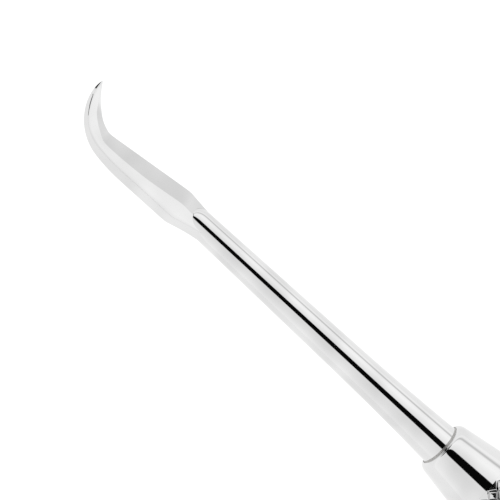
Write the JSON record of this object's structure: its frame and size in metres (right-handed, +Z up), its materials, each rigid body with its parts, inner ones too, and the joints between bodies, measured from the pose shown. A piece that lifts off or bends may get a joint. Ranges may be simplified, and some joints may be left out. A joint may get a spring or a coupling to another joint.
{
  "type": "dental elevator",
  "caption": "Polished steel dental elevator: hooked diamond-section blade on a round shank, brazed into a hollow knurled pear-shaped handle with a conical nose and domed cap.",
  "frame": {"origin": "middle of the bounding box's underside, where the grip band rests, with the tool's axis 7.5 mm above it", "axes": "+X along the tool from the hooked tip to the rear cap, +Y the side that the hook bends to, +Z up"},
  "size_m": [0.1548, 0.015, 0.015],
  "materials": {
    "blade_steel": "hardened martensitic stainless steel, ground and mirror polished",
    "handle_steel": "austenitic stainless steel, turned and mirror polished",
    "knurled_steel": "austenitic stainless steel, diamond knurled, then buffed",
    "silver_braze": "silver braze, satin as it froze"
  },
  "bodies": {
    "root": {"working_end": "blade_steel", "braze_fillet": "silver_braze", "nose_ferrule": "handle_steel", "nose_solder_ring": "silver_braze", "grip_shell": "knurled_steel", "cap_solder_ring": "silver_braze", "rear_cap": "handle_steel"}
  },
  "joints": []
}
